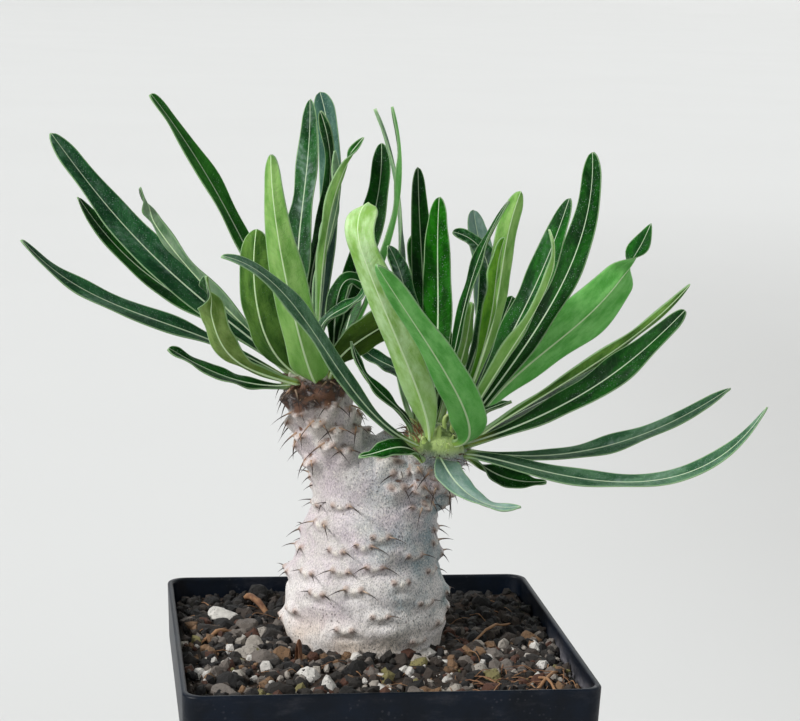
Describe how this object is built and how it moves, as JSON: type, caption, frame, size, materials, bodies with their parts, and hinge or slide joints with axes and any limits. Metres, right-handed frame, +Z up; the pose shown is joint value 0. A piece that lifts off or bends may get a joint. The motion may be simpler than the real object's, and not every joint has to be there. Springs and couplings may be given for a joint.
{
  "type": "potted pachypodium gracilius",
  "caption": "Spiny bottle trunk forked into two crowns of long narrow leaves, standing in gritty soil in a square nursery pot.",
  "frame": {"origin": "middle of the flat underside of the pot", "axes": "+Z up along the pot, +X to the right and +Y to the back as the picture shows the plant"},
  "size_m": [0.1671, 0.0998, 0.2016],
  "materials": {
    "pot": "black moulded plastic, slightly glossy",
    "soil": "loose pumice, lava grit and peat",
    "caudex": "thin silvery grey bark with tan spines",
    "leaf": "waxy green blade with a pale midrib"
  },
  "bodies": {
    "root": {"pot": "pot", "soil": "soil", "caudex": "caudex", "left_leaf_01": "leaf", "left_leaf_02": "leaf", "left_leaf_03": "leaf", "left_leaf_04": "leaf", "left_leaf_05": "leaf", "left_leaf_06": "leaf", "left_leaf_07": "leaf", "left_leaf_08": "leaf", "left_leaf_09": "leaf", "left_leaf_10": "leaf", "left_leaf_11": "leaf", "left_leaf_12": "leaf", "left_leaf_13": "leaf", "left_leaf_14": "leaf", "left_leaf_15": "leaf", "left_leaf_16": "leaf", "left_leaf_17": "leaf", "left_leaf_18": "leaf", "left_leaf_19": "leaf", "left_leaf_20": "leaf", "left_leaf_21": "leaf", "left_leaf_22": "leaf", "right_leaf_01": "leaf", "right_leaf_02": "leaf", "right_leaf_03": "leaf", "right_leaf_04": "leaf", "right_leaf_05": "leaf", "right_leaf_06": "leaf", "right_leaf_07": "leaf", "right_leaf_08": "leaf", "right_leaf_09": "leaf", "right_leaf_10": "leaf", "right_leaf_11": "leaf", "right_leaf_12": "leaf", "right_leaf_13": "leaf", "right_leaf_14": "leaf", "right_leaf_15": "leaf", "right_leaf_16": "leaf", "right_leaf_17": "leaf", "right_leaf_18": "leaf", "right_leaf_19": "leaf", "right_leaf_20": "leaf", "right_leaf_21": "leaf", "right_leaf_22": "leaf", "right_leaf_23": "leaf", "right_leaf_24": "leaf", "right_leaf_25": "leaf", "right_leaf_26": "leaf", "right_leaf_27": "leaf", "right_leaf_28": "leaf", "right_leaf_29": "leaf", "right_leaf_30": "leaf", "right_leaf_31": "leaf"}
  },
  "joints": []
}
